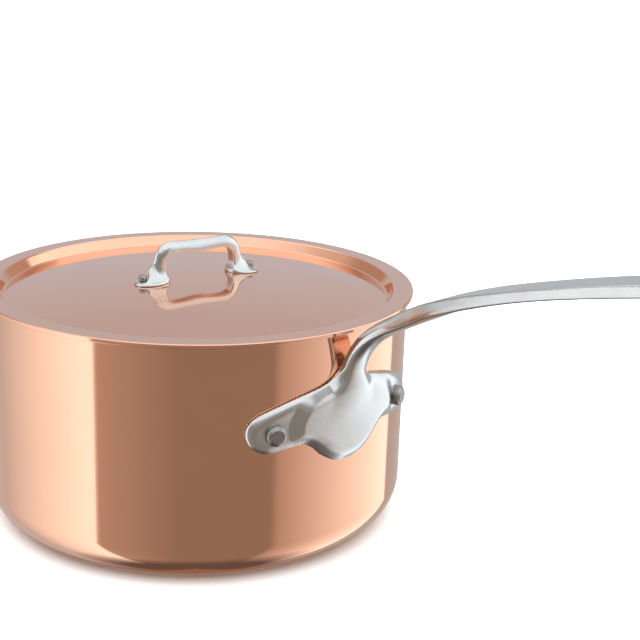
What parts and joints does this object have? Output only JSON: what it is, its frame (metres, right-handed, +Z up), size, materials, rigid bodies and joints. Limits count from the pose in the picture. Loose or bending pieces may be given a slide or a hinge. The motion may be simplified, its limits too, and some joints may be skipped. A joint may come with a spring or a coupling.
{
  "type": "lidded saucepan",
  "caption": "Lidded copper saucepan with a steel lining, a long riveted cast handle and a riveted loop on its crowned lid.",
  "frame": {"origin": "centre of the flat base, on the pan's axis", "axes": "+Z up along the pan's axis, +X along the long handle"},
  "size_m": [0.4129, 0.2074, 0.1751],
  "materials": {
    "copper": "polished copper, with faint marks round the axis",
    "lining": "stainless steel, brushed in rings",
    "cast_steel": "cast stainless steel, satin polished",
    "rivet_steel": "stainless steel, turned and dulled"
  },
  "bodies": {
    "pan": {"pan_shell": "copper", "pan_lining": "lining", "handle": "cast_steel", "handle_rivet_left": "rivet_steel", "handle_rivet_right": "rivet_steel"},
    "lid": {"lid_shell": "copper", "lid_lining": "lining", "lid_handle": "cast_steel", "lid_rivet_left": "rivet_steel", "lid_rivet_right": "rivet_steel"}
  },
  "joints": [
    {"name": "lid_lift", "type": "slide", "parent": "pan", "child": "lid", "axis": [0, 0, 1], "range_m": [0, 0.15]}
  ]
}
